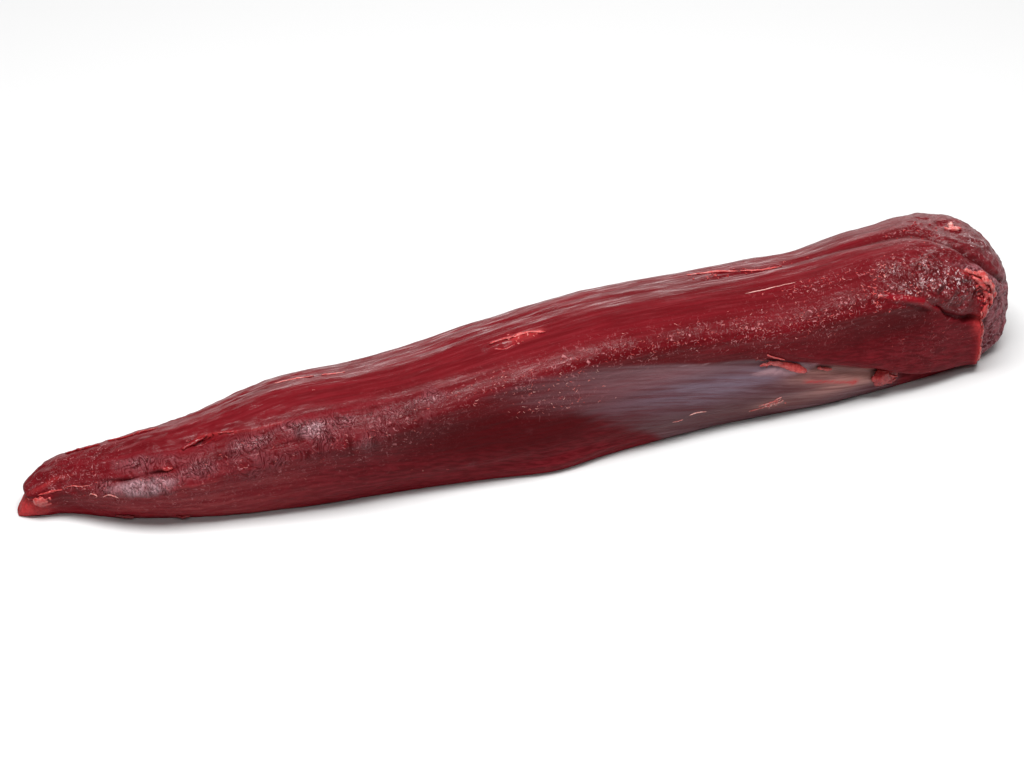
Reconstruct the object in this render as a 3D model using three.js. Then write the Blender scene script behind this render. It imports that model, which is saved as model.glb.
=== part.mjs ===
// A raw venison tenderloin, whole and trimmed: one long muscle that tapers from a thick, lobed head to a
// thin tail. Millimetres, +Z up. It lies on a table on its flattened underside, with the tail towards -X, the
// head towards +X and the side with the silver skin towards -Y. The origin is on the table, below the middle
// of the meat. Places on the surface are (s, a): s is the distance along the meat from the tip of the tail,
// and a the angle around it in degrees, 0 at the front (-Y), 90 on top and 180 at the back.
import * as THREE from "three";

// Driving sizes
const LENGTH = 340;
const TAIL_CAP = 9.4; // length over which the tail rounds off to its tip
const HEAD_CAP = 20; // length over which the head rounds off
const TAIL_TIP_Z = 8.5; // height of the tail's tip above the table
const HEAD_TIP_Z = 22; // height of the middle of the head's end above the table
const SINK = 3; // how much of a full section is pressed flat against the table
const FULL_HEIGHT = 48; // height of a section that is pressed flat by the whole of SINK
const SECTION_POWER = 2.25; // a little squarer than an ellipse, whose power is 2
const HEAD_CAP_POWER = 2.2;
const LEAST_RADIUS = 0.05; // no groove cuts deeper than this distance from the middle of a section

// Size of the section along the meat, as [s, mm]
const HEIGHT = [
  [0, 9.3], [12, 14.6], [30, 21], [55, 28.3], [85, 36], [120, 38], [155, 43.6],
  [190, 46], [225, 44.7], [260, 44], [290, 45.8], [315, 45.5], [340, 37],
];
const WIDTH = [
  [0, 14], [12, 19.7], [30, 27.4], [55, 36], [85, 45.7], [120, 48.3], [155, 55.4],
  [190, 58.4], [225, 56.8], [260, 57.3], [290, 60.4], [315, 60], [340, 48],
];
// How far the middle of the section lies towards +Y, as [s, mm]
const SWAY = [
  [0, 8.3], [12, 10.3], [30, 3.4], [55, -2.3], [85, -4.5], [120, -6.7], [155, -7],
  [190, -4.6], [225, -2.7], [260, -2.7], [290, -0.6], [315, 2], [340, 3.8],
];
// Rough radius of the section, which turns angles into distances around the meat, as [s, mm]
const RADIUS = [[0, 8], [30, 14], [85, 22], [155, 27], [300, 29], [340, 24]];

// Raw meat sags. Below a bend in the front, whose angle is BEND as [s, a], the surface of a full section lies
// further back and lower by PULL, as [degrees below the bend, mm]. PULL_BACK, PULL_DOWN and PULL_ALONG, the
// last as [s, share], are the shares of it towards +Y, down and towards the head. At the back the surface lies
// lower by DROP, as [a, mm].
const BEND = [
  [0, 20], [25, 15], [42, 16], [60, 24], [105, 26], [125, 38], [145, 47], [170, 49], [210, 47], [250, 40],
  [270, 43], [290, 40], [340, 40],
];
const PULL = [
  [-12, 0], [0, 1.2], [10, 4.2], [22, 7.4], [42, 9.8], [62, 10.2], [82, 8.6], [105, 6], [130, 2], [150, 0],
];
const PULL_BACK = 0.775;
const PULL_DOWN = 0.574;
const PULL_ALONG = [[0, 0.14], [340, 0.4]];
const DROP = [[126, 0], [155, 2.5], [180, 4.5], [210, 5], [240, 0]];

// Grooves that run along the meat. line is [s, a], depth [s, mm], and width mm. shelf is how far the side
// above the groove stands over the side below it.
const GROOVES = [
  { // the seam between the two muscles of the head
    line: [[140, 98], [166, 100], [200, 97], [230, 96], [253, 98], [270, 99], [286, 97], [300, 96], [308, 91],
      [314, 80], [318, 73], [321, 67], [325, 60], [328, 52], [334, 42], [340, 34]],
    depth: [[140, 0], [200, 0.3], [250, 0.6], [272, 1], [286, 1.5], [300, 1.4], [310, 1.6], [318, 2.6],
      [325, 2.9], [333, 1.8], [340, 0]],
    width: 2,
    shelf: -0.5,
  },
  { // the tuck where the head's lobe overlaps the silver-skinned lobe
    line: [[190, 40], [204, 35], [218, 29], [232, 24], [246, 17], [256, 9], [268, 0], [279, -8], [288, -17],
      [296, -24], [306, -30], [320, -36]],
    depth: [[190, 0], [215, 0.5], [235, 1.2], [255, 2], [275, 2.8], [288, 3.2], [300, 2.6], [312, 2], [324, 0]],
    width: 2.2,
    shelf: 1.6,
  },
  { // the crack across the front of the head
    line: [[298, 40], [301, 34.5], [303.5, 31], [305.5, 25], [308, 22], [312, 17.5], [315, 17], [318, 14.5],
      [322, 14]],
    depth: [[298, 0], [301, 1.4], [305, 2.4], [309, 1.8], [314, 2.8], [319, 1.6], [323, 0]],
    width: 1.3,
    shelf: 0.7,
  },
  { // the lip on the tail
    line: [[20, 45], [26, 41], [32, 38.5], [36, 40], [40, 42], [45, 42.5], [50, 47]],
    depth: [[20, 0], [27, 0.9], [32, 1.5], [36, 1.1], [42, 1.5], [46, 0.8], [50, 0]],
    width: 1,
    shelf: 0.8,
  },
  { // the lower edge of the smooth sheet of muscle on top
    line: [[18, 78], [44, 71], [51, 70], [56, 76], [60, 75.5], [66, 70], [72, 65], [108, 66], [138, 64],
      [160, 60]],
    depth: [[18, 0], [44, 0.7], [60, 0.9], [76, 0.6], [108, 0.5], [138, 0.3], [160, 0]],
    width: 2,
    shelf: 0.9,
  },
  { // a fold along the top
    line: [[124, 97], [138, 99], [152, 101], [170, 107], [190, 108], [212, 108], [236, 103]],
    depth: [[124, 0], [145, 0.6], [175, 0.8], [212, 0.6], [236, 0]],
    width: 1.5,
    shelf: -0.7,
  },
  { // low on the front
    line: [[110, -18], [137, -16], [181, -16], [215, -22]],
    depth: [[110, 0], [137, 0.6], [181, 0.7], [215, 0]],
    width: 3,
    shelf: 0.2,
  },
  { // along the back
    line: [[50, 150], [110, 158], [180, 152], [240, 160], [300, 168], [325, 172]],
    depth: [[50, 0], [110, 0.9], [180, 1.2], [240, 1.6], [300, 2.2], [330, 0.4]],
    width: 2.8,
    shelf: 0.8,
  },
  { // low on the back
    line: [[150, 205], [220, 200], [290, 208], [325, 214]],
    depth: [[150, 0], [220, 0.8], [290, 1.4], [325, 0.2]],
    width: 2.6,
    shelf: -0.5,
  },
];

// Single swellings (+) and hollows (-), millimetres long, wide and high
const LUMPS = [
  { s: 304, a: 48, long: 8, wide: 7, height: -1.2 }, // hollow on the front of the head
  { s: 294, a: 39.5, long: 8, wide: 2.4, height: 1 }, // ledge that leads into the crack
  { s: 319, a: 36, long: 3, wide: 3, height: -1.4 }, // dent inside the curled end of the front lobe
  { s: 312, a: 70, long: 10, wide: 5, height: 0.8 }, // rim in front of the seam
  { s: 270, a: 60, long: 26, wide: 12, height: 0.9 }, // front lobe of the head
  { s: 329, a: 95, long: 7, wide: 11, height: 2 }, // back lobe of the head
  { s: 319, a: 99, long: 4, wide: 5, height: -1 }, // nick before it
  { s: 232, a: 4, long: 34, wide: 9, height: 0.8 }, // silver-skinned lobe
  { s: 38, a: 80, long: 14, wide: 6, height: 0.6 },
  { s: 44, a: 18, long: 18, wide: 5.5, height: 1.7 }, // lobe low on the front of the tail
  { s: 36, a: 27, long: 9, wide: 3.5, height: 0.9 },
  { s: 37, a: 51, long: 8, wide: 3, height: -0.7 }, // hollow above its lip
  { s: 34, a: 66, long: 10, wide: 3, height: 0.6 },
  { s: 168, a: -32, long: 16, wide: 9, height: 2.2 },
  { s: 334, a: -25, long: 6, wide: 8, height: 1.5 }, // lower part of the head's end
  { s: 70, a: 58, long: 12, wide: 5, height: -0.5 },
  { s: 94, a: 54, long: 14, wide: 5, height: 0.5 },
  { s: 120, a: 140, long: 30, wide: 10, height: 1 },
  { s: 200, a: 175, long: 40, wide: 10, height: 0.9 },
  { s: 280, a: 190, long: 26, wide: 9, height: 1.2 },
];

// The curled edge in which the head's front lobe ends, as [a, s], and how far the meat drops behind it, as
// [a, mm]
const FLAP_EDGE = [
  [-60, 324], [-32, 321.3], [-20, 319.8], [0, 320.2], [12, 319.8], [17, 320.5], [22, 322.8], [31, 324.6],
  [43, 324], [50, 319.5], [55, 316], [60, 311],
];
const FLAP_DROP = [[-75, 0], [-45, 2], [-25, 3.4], [12, 3.6], [31, 3], [43, 2], [52, 0.8], [60, 0]];
const FLAP_FULL_DROP = 3.6;
const FLAP_RIM = 0.8; // height of the rim along the edge

// The tail's end is split at a height. Above the split it is blunter, so that its tip lies back by BLUNT, and
// below it a nub lies back by NUB, as [z, mm], which is less than 0 where it reaches out. The split is this
// deep and wide, and a notch runs on from it.
const SPLIT_Z = 7;
const BLUNT = 1.6;
const NUB = [[0, -1.5], [2, -1.2], [4, 0], [5.5, 1.2], [7, 2]];
const NUB_LENGTH = 12;
const SPLIT_DEPTH = 0.8;
const SPLIT_WIDTH = 1;
const NOTCH = { a: 34, depth: 1.4, width: 1.3, length: 9 };

// How finely the surface is divided: along the meat as [s, mm], around it as [a, degrees], and the rounded ends
const RING_SPACING = [[10, 5], [60, 6], [190, 6.5], [235, 4.5], [265, 3], [300, 2.3], [320, 2.1]];
const TURN_SPACING = [[-90, 8], [-55, 5.5], [-40, 4.6], [100, 4.6], [125, 7], [240, 9]];
const FIRST_TURN = -120; // where a ring starts and ends, on the underside
const TAIL_RINGS = 4;
const HEAD_RINGS = 8;

/** A smooth curve through [place, value] points, level beyond both ends. */
function profile(points, at) {
  const last = points.length - 1;
  const x = Math.min(Math.max(at, points[0][0]), points[last][0]);
  let i = 0;
  while (i < last - 1 && x >= points[i + 1][0]) i++;
  const slope = (k) => {
    const from = points[Math.max(k - 1, 0)];
    const to = points[Math.min(k + 1, last)];
    return (to[1] - from[1]) / (to[0] - from[0]);
  };
  const [x0, y0] = points[i];
  const [x1, y1] = points[i + 1];
  const d = x1 - x0;
  const t = (x - x0) / d;
  const t2 = t * t;
  const t3 = t2 * t;
  return (2 * t3 - 3 * t2 + 1) * y0 + (t3 - 2 * t2 + t) * d * slope(i)
    + (3 * t2 - 2 * t3) * y1 + (t3 - t2) * d * slope(i + 1);
}

/** 1 at 0, falling smoothly to 0 on both sides. */
const bell = (x) => Math.exp(-x * x);

/** 0 below -1 and 1 above 1, with a smooth rise between. */
function rise(x) {
  const t = THREE.MathUtils.clamp((x + 1) / 2, 0, 1);
  return t * t * (3 - 2 * t);
}

/** Distance in millimetres around the meat from one angle to another at s. */
function arc(from, to, s) {
  const turn = THREE.MathUtils.euclideanModulo(to - from + 180, 360) - 180;
  return THREE.MathUtils.degToRad(turn) * profile(RADIUS, s);
}

/** A groove between two sides, of which the higher one, the shelf, slopes back to the plain surface. */
function grooveHeight(groove, s, a) {
  const stepWidth = 2 * groove.width;
  const shelfWidth = 6 * groove.width;
  const d = arc(profile(groove.line, s), a, s);
  const depth = profile(groove.depth, s);
  const shelf = groove.shelf * THREE.MathUtils.clamp(depth, 0, 1) * bell(d / shelfWidth);
  return shelf * (rise(d / stepWidth) - 0.5) - depth * bell(d / groove.width);
}

function lumpHeight(lump, s, a) {
  return lump.height * bell((s - lump.s) / lump.long) * bell(arc(lump.a, a, s) / lump.wide);
}

/** The front lobe of the head ends in a rimmed edge, and the rest of the head lies lower behind it. */
function flapHeight(s, a) {
  const rimBefore = 1.6;
  const rimWidth = 1.8;
  const stepWidth = 1.2;
  const levelLength = 2;
  const fadeLength = 26;
  const d = s - profile(FLAP_EDGE, a);
  const drop = profile(FLAP_DROP, a);
  const rim = (FLAP_RIM * drop / FLAP_FULL_DROP) * bell((d + rimBefore) / rimWidth);
  return rim - drop * rise(d / stepWidth) * THREE.MathUtils.clamp(1 - (d - levelLength) / fadeLength, 0, 1);
}

function notchHeight(s, a) {
  const fade = THREE.MathUtils.clamp(1 - s / NOTCH.length, 0, 1);
  return -NOTCH.depth * fade * bell(arc(NOTCH.a, a, s) / NOTCH.width);
}

/** How far the split end of the tail lies back towards the head at a height z. */
function splitBack(s, z) {
  const aboveSplit = (z - SPLIT_Z) / SPLIT_WIDTH;
  const upper = rise(aboveSplit);
  const fade = THREE.MathUtils.clamp(1 - s / NUB_LENGTH, 0, 1) ** 2;
  const blunt = Math.max(2 * BLUNT - s, 0) ** 2 / (4 * BLUNT);
  return upper * blunt + fade * ((1 - upper) * profile(NUB, z) + SPLIT_DEPTH * bell(aboveSplit));
}

/** How much lower the nub below the split lies than the plain tip of the tail. It rests on the table. */
function nubDrop(section, s, z) {
  if (s >= TAIL_CAP) return 0;
  const low = THREE.MathUtils.clamp(section.z - section.height / 2, 0, SPLIT_Z - 1);
  return low * THREE.MathUtils.clamp((SPLIT_Z - z) / (SPLIT_Z - low), 0, 1);
}

/** Long soft swellings of the muscle bundles, as three waves that wander around the meat. */
function bundleHeight(s, a) {
  const turn = THREE.MathUtils.degToRad(a);
  const u = s / 100;
  const fade = THREE.MathUtils.clamp(s / 40, 0, 1) * THREE.MathUtils.clamp((LENGTH - 2 - s) / 20, 0, 1);
  return fade * (0.2 * Math.sin(7 * turn + 2.1 * Math.sin(1.7 * u) + 0.8 * u) * Math.sin(1.3 * u + 0.4)
    + 0.16 * Math.sin(11 * turn - 1.6 * u + 1) * Math.sin(2.9 * u + 1.9)
    + 0.25 * Math.sin(3 * turn + 2.2 * u + 0.5) * Math.sin(4.1 * u));
}

/** Height in millimetres of the lobes, seams and lumps over the plain section. */
function reliefHeight(s, a) {
  let height = flapHeight(s, a) + notchHeight(s, a) + bundleHeight(s, a);
  for (const groove of GROOVES) height += grooveHeight(groove, s, a);
  for (const lump of LUMPS) height += lumpHeight(lump, s, a);
  const thinRadius = 14; // sections thinner than this have less relief
  const headFade = 6; // over this length the relief fades towards the tip of the head
  const thin = THREE.MathUtils.clamp(profile(RADIUS, s) / thinRadius, 0.3, 1);
  const nearHeadTip = THREE.MathUtils.clamp((LENGTH + 1 - s) / headFade, 0.1, 1);
  return height * thin * nearHeadTip;
}

/** The plain section at s: its middle, its height and its width. */
function sectionAt(s) {
  const full = profile(HEIGHT, s);
  const sink = SINK * Math.min(full / FULL_HEIGHT, 1);
  const intoHead = THREE.MathUtils.clamp((s - (LENGTH - HEAD_CAP)) / HEAD_CAP, 0, 1);
  const intoTail = THREE.MathUtils.clamp((TAIL_CAP - s) / TAIL_CAP, 0, 1);
  const cap = Math.pow(1 - Math.pow(intoHead, HEAD_CAP_POWER), 1 / HEAD_CAP_POWER)
    * Math.sqrt(1 - intoTail * intoTail);
  const tipZ = intoHead > 0 ? HEAD_TIP_Z : TAIL_TIP_Z;
  return {
    y: profile(SWAY, s),
    z: cap * (full - sink) / 2 + (1 - cap) * tipZ,
    height: (full + sink) * cap,
    width: profile(WIDTH, s) * cap,
  };
}

/** The point of the surface at (s, a), flattened where it would reach below the table. */
function surfacePoint(s, a) {
  const section = sectionAt(s);
  const squarer = (v) => Math.sign(v) * Math.pow(Math.abs(v), 2 / SECTION_POWER);
  const turn = THREE.MathUtils.degToRad(a);
  const y = -(section.width / 2) * squarer(Math.cos(turn));
  const z = (section.height / 2) * squarer(Math.sin(turn));
  const radius = Math.hypot(y, z);
  const grown = Math.max(radius + reliefHeight(s, a), LEAST_RADIUS) / radius;
  const size = section.height / (FULL_HEIGHT + SINK);
  const pull = size * profile(PULL, profile(BEND, s) - a);
  const plainZ = section.z + z * grown;
  const height = plainZ - nubDrop(section, s, plainZ);
  return new THREE.Vector3(
    s - LENGTH / 2 + splitBack(s, height) + profile(PULL_ALONG, s) * pull,
    section.y + y * grown + PULL_BACK * pull,
    Math.max(height - PULL_DOWN * pull - size * profile(DROP, a), 0),
  );
}

/** Places from start to end whose distances follow a spacing profile. */
function spread(start, end, spacing) {
  const places = [start];
  while (places.at(-1) < end) places.push(places.at(-1) + profile(spacing, places.at(-1)));
  const stretch = (end - start) / (places.at(-1) - start);
  return places.map((place) => start + (place - start) * stretch);
}

/** The places of the rings along the meat, closer together where the ends round off. */
function ringPlaces() {
  const quarterTurn = (i, rings) => (Math.PI / 2) * (i / (rings + 1));
  const tail = [];
  for (let i = 1; i <= TAIL_RINGS; i++) tail.push(TAIL_CAP * (1 - Math.cos(quarterTurn(i, TAIL_RINGS))));
  const head = [];
  for (let i = 1; i <= HEAD_RINGS; i++) {
    head.push(LENGTH - HEAD_CAP * (1 - Math.pow(Math.sin(quarterTurn(i, HEAD_RINGS)), 2 / HEAD_CAP_POWER)));
  }
  return [...tail, ...spread(TAIL_CAP, LENGTH - HEAD_CAP, RING_SPACING), ...head];
}

/** The mesh's points, ring by ring, then the tips of the tail and the head. */
function surfacePoints(places, turns) {
  const points = [];
  for (const s of places) {
    for (const a of turns) points.push(surfacePoint(s, a));
  }
  points.push(new THREE.Vector3(-LENGTH / 2 + splitBack(0, TAIL_TIP_Z), sectionAt(0).y, TAIL_TIP_Z));
  points.push(new THREE.Vector3(LENGTH / 2, sectionAt(LENGTH).y, HEAD_TIP_Z));
  return points;
}

/** Whether the diagonal from corner 0 to corner 2 of a patch runs closer to the surface than the other one. */
function firstDiagonalFits(corners, onSurface) {
  const miss = (from, to) => new THREE.Vector3().lerpVectors(from, to, 0.5).distanceTo(onSurface);
  return miss(corners[0], corners[2]) <= miss(corners[1], corners[3]);
}

/** One closed surface: rings of points around the meat, joined to each other and to a point at each tip. */
function meatGeometry() {
  const places = ringPlaces();
  const turns = spread(FIRST_TURN, FIRST_TURN + 360, TURN_SPACING);
  turns.pop(); // the ring closes here
  const around = turns.length;
  const points = surfacePoints(places, turns);
  const tailTip = points.length - 2;
  const headTip = points.length - 1;

  const faces = [];
  const at = (ring, j) => ring * around + (j % around);
  for (let j = 0; j < around; j++) {
    const middleTurn = (turns[j] + (turns[j + 1] ?? turns[0] + 360)) / 2;
    faces.push(tailTip, at(0, j), at(0, j + 1));
    for (let i = 0; i < places.length - 1; i++) {
      const patch = [at(i, j), at(i + 1, j), at(i + 1, j + 1), at(i, j + 1)];
      const middle = surfacePoint((places[i] + places[i + 1]) / 2, middleTurn);
      const [p, q, r, t] = patch;
      if (firstDiagonalFits(patch.map((k) => points[k]), middle)) faces.push(p, q, r, p, r, t);
      else faces.push(p, q, t, q, r, t);
    }
    faces.push(headTip, at(places.length - 1, j + 1), at(places.length - 1, j));
  }
  const geometry = new THREE.BufferGeometry().setFromPoints(points);
  geometry.setIndex(faces);
  geometry.computeVertexNormals();
  return geometry;
}

/** Moves the geometry sideways so that the middle of its box is above the origin. */
function centreSideways(geometry) {
  geometry.computeBoundingBox();
  const middle = geometry.boundingBox.getCenter(new THREE.Vector3());
  return geometry.translate(-middle.x, -middle.y, 0);
}

const meat = new THREE.MeshStandardMaterial({ color: 0x74222a, roughness: 0.35, metalness: 0 });
const tenderloin = new THREE.Mesh(centreSideways(meatGeometry()), meat);
tenderloin.name = "tenderloin";

const model = new THREE.Group();
model.add(tenderloin);

export default model;
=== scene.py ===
import math
from itertools import product

import bpy
import numpy as np
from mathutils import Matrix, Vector


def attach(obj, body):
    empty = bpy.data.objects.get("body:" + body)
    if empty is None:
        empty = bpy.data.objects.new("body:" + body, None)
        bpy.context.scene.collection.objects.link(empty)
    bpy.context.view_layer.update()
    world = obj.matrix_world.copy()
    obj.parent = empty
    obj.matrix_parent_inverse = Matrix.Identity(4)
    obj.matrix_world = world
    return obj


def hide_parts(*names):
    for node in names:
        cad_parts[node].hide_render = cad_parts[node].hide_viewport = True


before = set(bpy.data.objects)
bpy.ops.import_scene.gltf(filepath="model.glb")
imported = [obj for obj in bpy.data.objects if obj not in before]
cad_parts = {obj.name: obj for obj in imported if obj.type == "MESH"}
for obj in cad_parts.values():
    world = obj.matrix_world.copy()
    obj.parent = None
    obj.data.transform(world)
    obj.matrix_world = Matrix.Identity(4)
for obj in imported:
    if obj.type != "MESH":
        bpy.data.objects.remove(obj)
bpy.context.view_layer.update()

# A raw venison tenderloin: one long muscle that tapers from a thick, lobed head to a thin tail. The surface is worked
# out in millimetres at places (s, a): s is the distance along the meat from the tip of the tail, and a the angle
# around it in degrees, 0 at the front (-Y), 90 on top and 180 at the back.
MM = 0.001
LENGTH = 340

# Sizes of the plain form
TAIL_CAP, HEAD_CAP = 9.4, 20
TAIL_TIP_Z, HEAD_TIP_Z = 8.5, 22
SINK = 3
FULL_HEIGHT = 48
SECTION_POWER = 2.25
HEAD_CAP_POWER = 2.2
LEAST_RADIUS = 0.05

# The section along the meat, as (s, height, width, y of its middle), and its radius, as (s, mm)
SECTIONS = [
    (0, 9.3, 14, 8.3), (12, 14.6, 19.7, 10.3), (30, 21, 27.4, 3.4), (55, 28.3, 36, -2.3), (85, 36, 45.7, -4.5),
    (120, 38, 48.3, -6.7), (155, 43.6, 55.4, -7), (190, 46, 58.4, -4.6), (225, 44.7, 56.8, -2.7),
    (260, 44, 57.3, -2.7), (290, 45.8, 60.4, -0.6), (315, 45.5, 60, 2), (340, 37, 48, 3.8),
]
HEIGHT, WIDTH, SWAY = ([(row[0], row[k]) for row in SECTIONS] for k in (1, 2, 3))
RADIUS = [(0, 8), (30, 14), (85, 22), (155, 27), (300, 29), (340, 24)]

# Raw meat sags. Below a bend in the front, at the angle BEND at each s, the surface of a full section lies further
# back and lower by PULL, as (degrees below the bend, mm), in the direction of PULL_BACK and PULL_DOWN, and of
# PULL_ALONG at each s. At the back it lies lower by DROP, as (a, mm).
BEND = [
    (0, 20), (25, 15), (42, 16), (60, 24), (105, 26), (125, 38), (145, 47), (170, 49), (210, 47), (250, 40),
    (270, 43), (290, 40), (340, 40),
]
PULL = [(-12, 0), (0, 1.2), (10, 4.2), (22, 7.4), (42, 9.8), (62, 10.2), (82, 8.6), (105, 6), (130, 2), (150, 0)]
PULL_BACK = 0.775
PULL_DOWN = 0.574
PULL_ALONG = [(0, 0.14), (340, 0.4)]
DROP = [(126, 0), (155, 2.5), (180, 4.5), (210, 5), (240, 0)]

# Grooves that run along the meat: line (s, a), depth (s, mm), width mm, and shelf, how far the side above the groove
# stands over the side below it. A shelf rises and fades out over so many widths.
SHELF_RISE, SHELF_FADE = 2, 6
SEAM = dict(
    line=[(140, 98), (166, 100), (200, 97), (230, 96), (253, 98), (270, 99), (286, 97), (300, 96), (308, 91),
          (314, 80), (318, 73), (321, 67), (325, 60), (328, 52), (334, 42), (340, 34)],
    depth=[(140, 0), (200, 0.3), (250, 0.6), (272, 1), (286, 1.5), (300, 1.4), (310, 1.6), (318, 2.6), (325, 2.9),
           (333, 1.8), (340, 0)],
    width=2, shelf=-0.5,
)
TUCK = dict(
    line=[(190, 40), (204, 35), (218, 29), (232, 24), (246, 17), (256, 9), (268, 0), (279, -8), (288, -17),
          (296, -24), (306, -30), (320, -36)],
    depth=[(190, 0), (215, 0.5), (235, 1.2), (255, 2), (275, 2.8), (288, 3.2), (300, 2.6), (312, 2), (324, 0)],
    width=2.2, shelf=1.6,
)
CRACK = dict(
    line=[(298, 40), (301, 34.5), (303.5, 31), (305.5, 25), (308, 22), (312, 17.5), (315, 17), (318, 14.5),
          (322, 14)],
    depth=[(298, 0), (301, 1.4), (305, 2.4), (309, 1.8), (314, 2.8), (319, 1.6), (323, 0)],
    width=1.3, shelf=0.7,
)
TAIL_LIP = dict(
    line=[(20, 45), (26, 41), (32, 38.5), (36, 40), (40, 42), (45, 42.5), (50, 47)],
    depth=[(20, 0), (27, 0.9), (32, 1.5), (36, 1.1), (42, 1.5), (46, 0.8), (50, 0)],
    width=1, shelf=0.8,
)
SHEET_EDGE = dict(
    line=[(18, 78), (44, 71), (51, 70), (56, 76), (60, 75.5), (66, 70), (72, 65), (108, 66), (138, 64), (160, 60)],
    depth=[(18, 0), (44, 0.7), (60, 0.9), (76, 0.6), (108, 0.5), (138, 0.3), (160, 0)],
    width=2, shelf=0.9,
)
TOP_FOLD = dict(
    line=[(124, 97), (138, 99), (152, 101), (170, 107), (190, 108), (212, 108), (236, 103)],
    depth=[(124, 0), (145, 0.6), (175, 0.8), (212, 0.6), (236, 0)],
    width=1.5, shelf=-0.7,
)
LOW_FOLD = dict(
    line=[(110, -18), (137, -16), (181, -16), (215, -22)],
    depth=[(110, 0), (137, 0.6), (181, 0.7), (215, 0)],
    width=3, shelf=0.2,
)
BACK_SEAM = dict(
    line=[(50, 150), (110, 158), (180, 152), (240, 160), (300, 168), (325, 172)],
    depth=[(50, 0), (110, 0.9), (180, 1.2), (240, 1.6), (300, 2.2), (330, 0.4)],
    width=2.8, shelf=0.8,
)
BACK_FOLD = dict(
    line=[(150, 205), (220, 200), (290, 208), (325, 214)],
    depth=[(150, 0), (220, 0.8), (290, 1.4), (325, 0.2)],
    width=2.6, shelf=-0.5,
)
GROOVES = [SEAM, TUCK, CRACK, TAIL_LIP, SHEET_EDGE, TOP_FOLD, LOW_FOLD, BACK_SEAM, BACK_FOLD]

# Single swellings (+) and hollows (-): (s, a, length, width, height)
LUMPS = [
    (304, 48, 8, 7, -1.2), (294, 39.5, 8, 2.4, 1), (319, 36, 3, 3, -1.4), (312, 70, 10, 5, 0.8),
    (270, 60, 26, 12, 0.9), (329, 95, 7, 11, 2), (319, 99, 4, 5, -1), (232, 4, 34, 9, 0.8), (38, 80, 14, 6, 0.6),
    (44, 18, 18, 5.5, 1.7), (36, 27, 9, 3.5, 0.9), (37, 51, 8, 3, -0.7), (34, 66, 10, 3, 0.6), (168, -32, 16, 9, 2.2),
    (334, -25, 6, 8, 1.5), (70, 58, 12, 5, -0.5), (94, 54, 14, 5, 0.5), (120, 140, 30, 10, 1),
    (200, 175, 40, 10, 0.9), (280, 190, 26, 9, 1.2),
]

# The curled edge in which the head's front lobe ends, as (a, s), and how far the meat drops behind it, as (a, mm),
# before the drop fades out
FLAP_EDGE = [
    (-60, 324), (-32, 321.3), (-20, 319.8), (0, 320.2), (12, 319.8), (17, 320.5), (22, 322.8), (31, 324.6), (43, 324),
    (50, 319.5), (55, 316), (60, 311),
]
FLAP_DROP = [(-75, 0), (-45, 2), (-25, 3.4), (12, 3.6), (31, 3), (43, 2), (52, 0.8), (60, 0)]
FLAP_FULL_DROP = 3.6
FLAP_SOFTNESS = 1.2
FLAP_FADE_START, FLAP_FADE_LENGTH = 2, 26
FLAP_RIM, FLAP_RIM_PLACE, FLAP_RIM_WIDTH = 0.8, -1.6, 1.8

# The tail's end is split at a height. Above the split it is blunter, so that its tip lies back by BLUNT, and below it
# a nub lies back by NUB, as (z, mm), which is less than 0 where it reaches out. A notch runs on from the split.
SPLIT_Z = 7
BLUNT = 1.6
NUB = [(0, -1.5), (2, -1.2), (4, 0), (5.5, 1.2), (7, 2)]
NUB_LENGTH = 12
SPLIT_DEPTH, SPLIT_WIDTH = 0.8, 1
NOTCH = dict(a=34, depth=1.4, width=1.3, length=9)

# The swellings of the muscle bundles fade out towards the tips, and all relief gets lower where the meat is thin
BUNDLE_TAIL_FADE, BUNDLE_HEAD_FADE = 40, 20
THIN_RADIUS = 14

# The bundle of fibres has this radius, and a share of the meat's
FIBRE_RADIUS, FIBRE_SHARE = 12, 0.6

# How finely the surface is divided: along the meat as (s, mm), around it as (a, degrees), and the rounded ends
RING_SPACING = [(10, 0.5), (60, 0.62), (110, 0.8), (180, 0.8), (235, 0.62), (270, 0.5), (320, 0.42)]
TURN_SPACING = [(-120, 3.8), (-70, 2.8), (-50, 1.6), (112, 1.6), (135, 2.2), (180, 3), (240, 3.8)]
FIRST_TURN = -120
TAIL_RINGS, HEAD_RINGS = 14, 34


# Curves and noise


def profile(points, at):
    """A smooth curve through (place, value) points, level beyond both ends."""
    x, y = np.array(points, float).T
    slope = np.gradient(y)
    slope[1:-1] = (y[2:] - y[:-2]) / (x[2:] - x[:-2])
    slope[0] = (y[1] - y[0]) / (x[1] - x[0])
    slope[-1] = (y[-1] - y[-2]) / (x[-1] - x[-2])
    at = np.clip(at, x[0], x[-1])
    i = np.clip(np.searchsorted(x, at, side="right") - 1, 0, len(x) - 2)
    d = x[i + 1] - x[i]
    t = (at - x[i]) / d
    return (
        (2 * t**3 - 3 * t**2 + 1) * y[i]
        + (t**3 - 2 * t**2 + t) * d * slope[i]
        + (3 * t**2 - 2 * t**3) * y[i + 1]
        + (t**3 - t**2) * d * slope[i + 1]
    )


def unit(x):
    return np.clip(x, 0, 1)


def bell(x):
    """1 at 0, falling smoothly to 0 on both sides."""
    return np.exp(-x * x)


def rise(x):
    """0 below -1 and 1 above 1, with a smooth rise between."""
    t = unit((x + 1) / 2)
    return t * t * (3 - 2 * t)


# Numbers that scatter the bits of whole numbers
HASH_X, HASH_Y, HASH_Z, HASH_SEED, HASH_MIX = 73856093, 19349663, 83492791, 2654435761, 1274126177


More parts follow.
